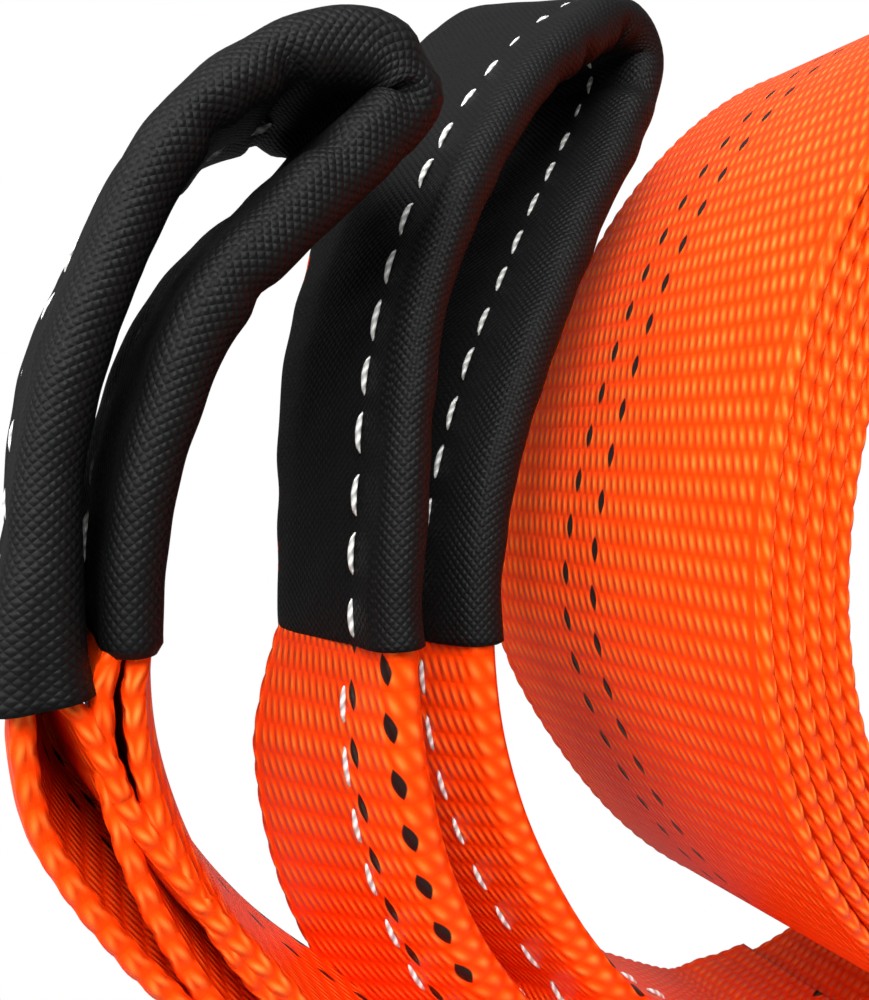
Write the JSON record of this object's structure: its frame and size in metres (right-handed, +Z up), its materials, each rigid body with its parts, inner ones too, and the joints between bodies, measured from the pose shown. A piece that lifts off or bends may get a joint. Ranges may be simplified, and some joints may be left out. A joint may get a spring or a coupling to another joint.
{
  "type": "tow strap",
  "caption": "Woven webbing tow strap wound into a standing roll, with both ends rising into folded, sleeved lifting eyes.",
  "frame": {"origin": "bottom centre of the bounding box, on the floor that the roll stands on", "axes": "+Z up; +Y along the roll's axis towards its far end; the eyes stand on the -X side"},
  "size_m": [0.2908, 0.0752, 0.202],
  "materials": {
    "webbing": "woven polyester webbing, glossy yarns",
    "sleeve": "plain woven synthetic cloth, matt"
  },
  "bodies": {
    "root": {"webbing_roll": "webbing", "left_webbing_end": "webbing", "right_webbing_end": "webbing", "left_eye_sleeve": "sleeve", "right_eye_sleeve": "sleeve"}
  },
  "joints": []
}
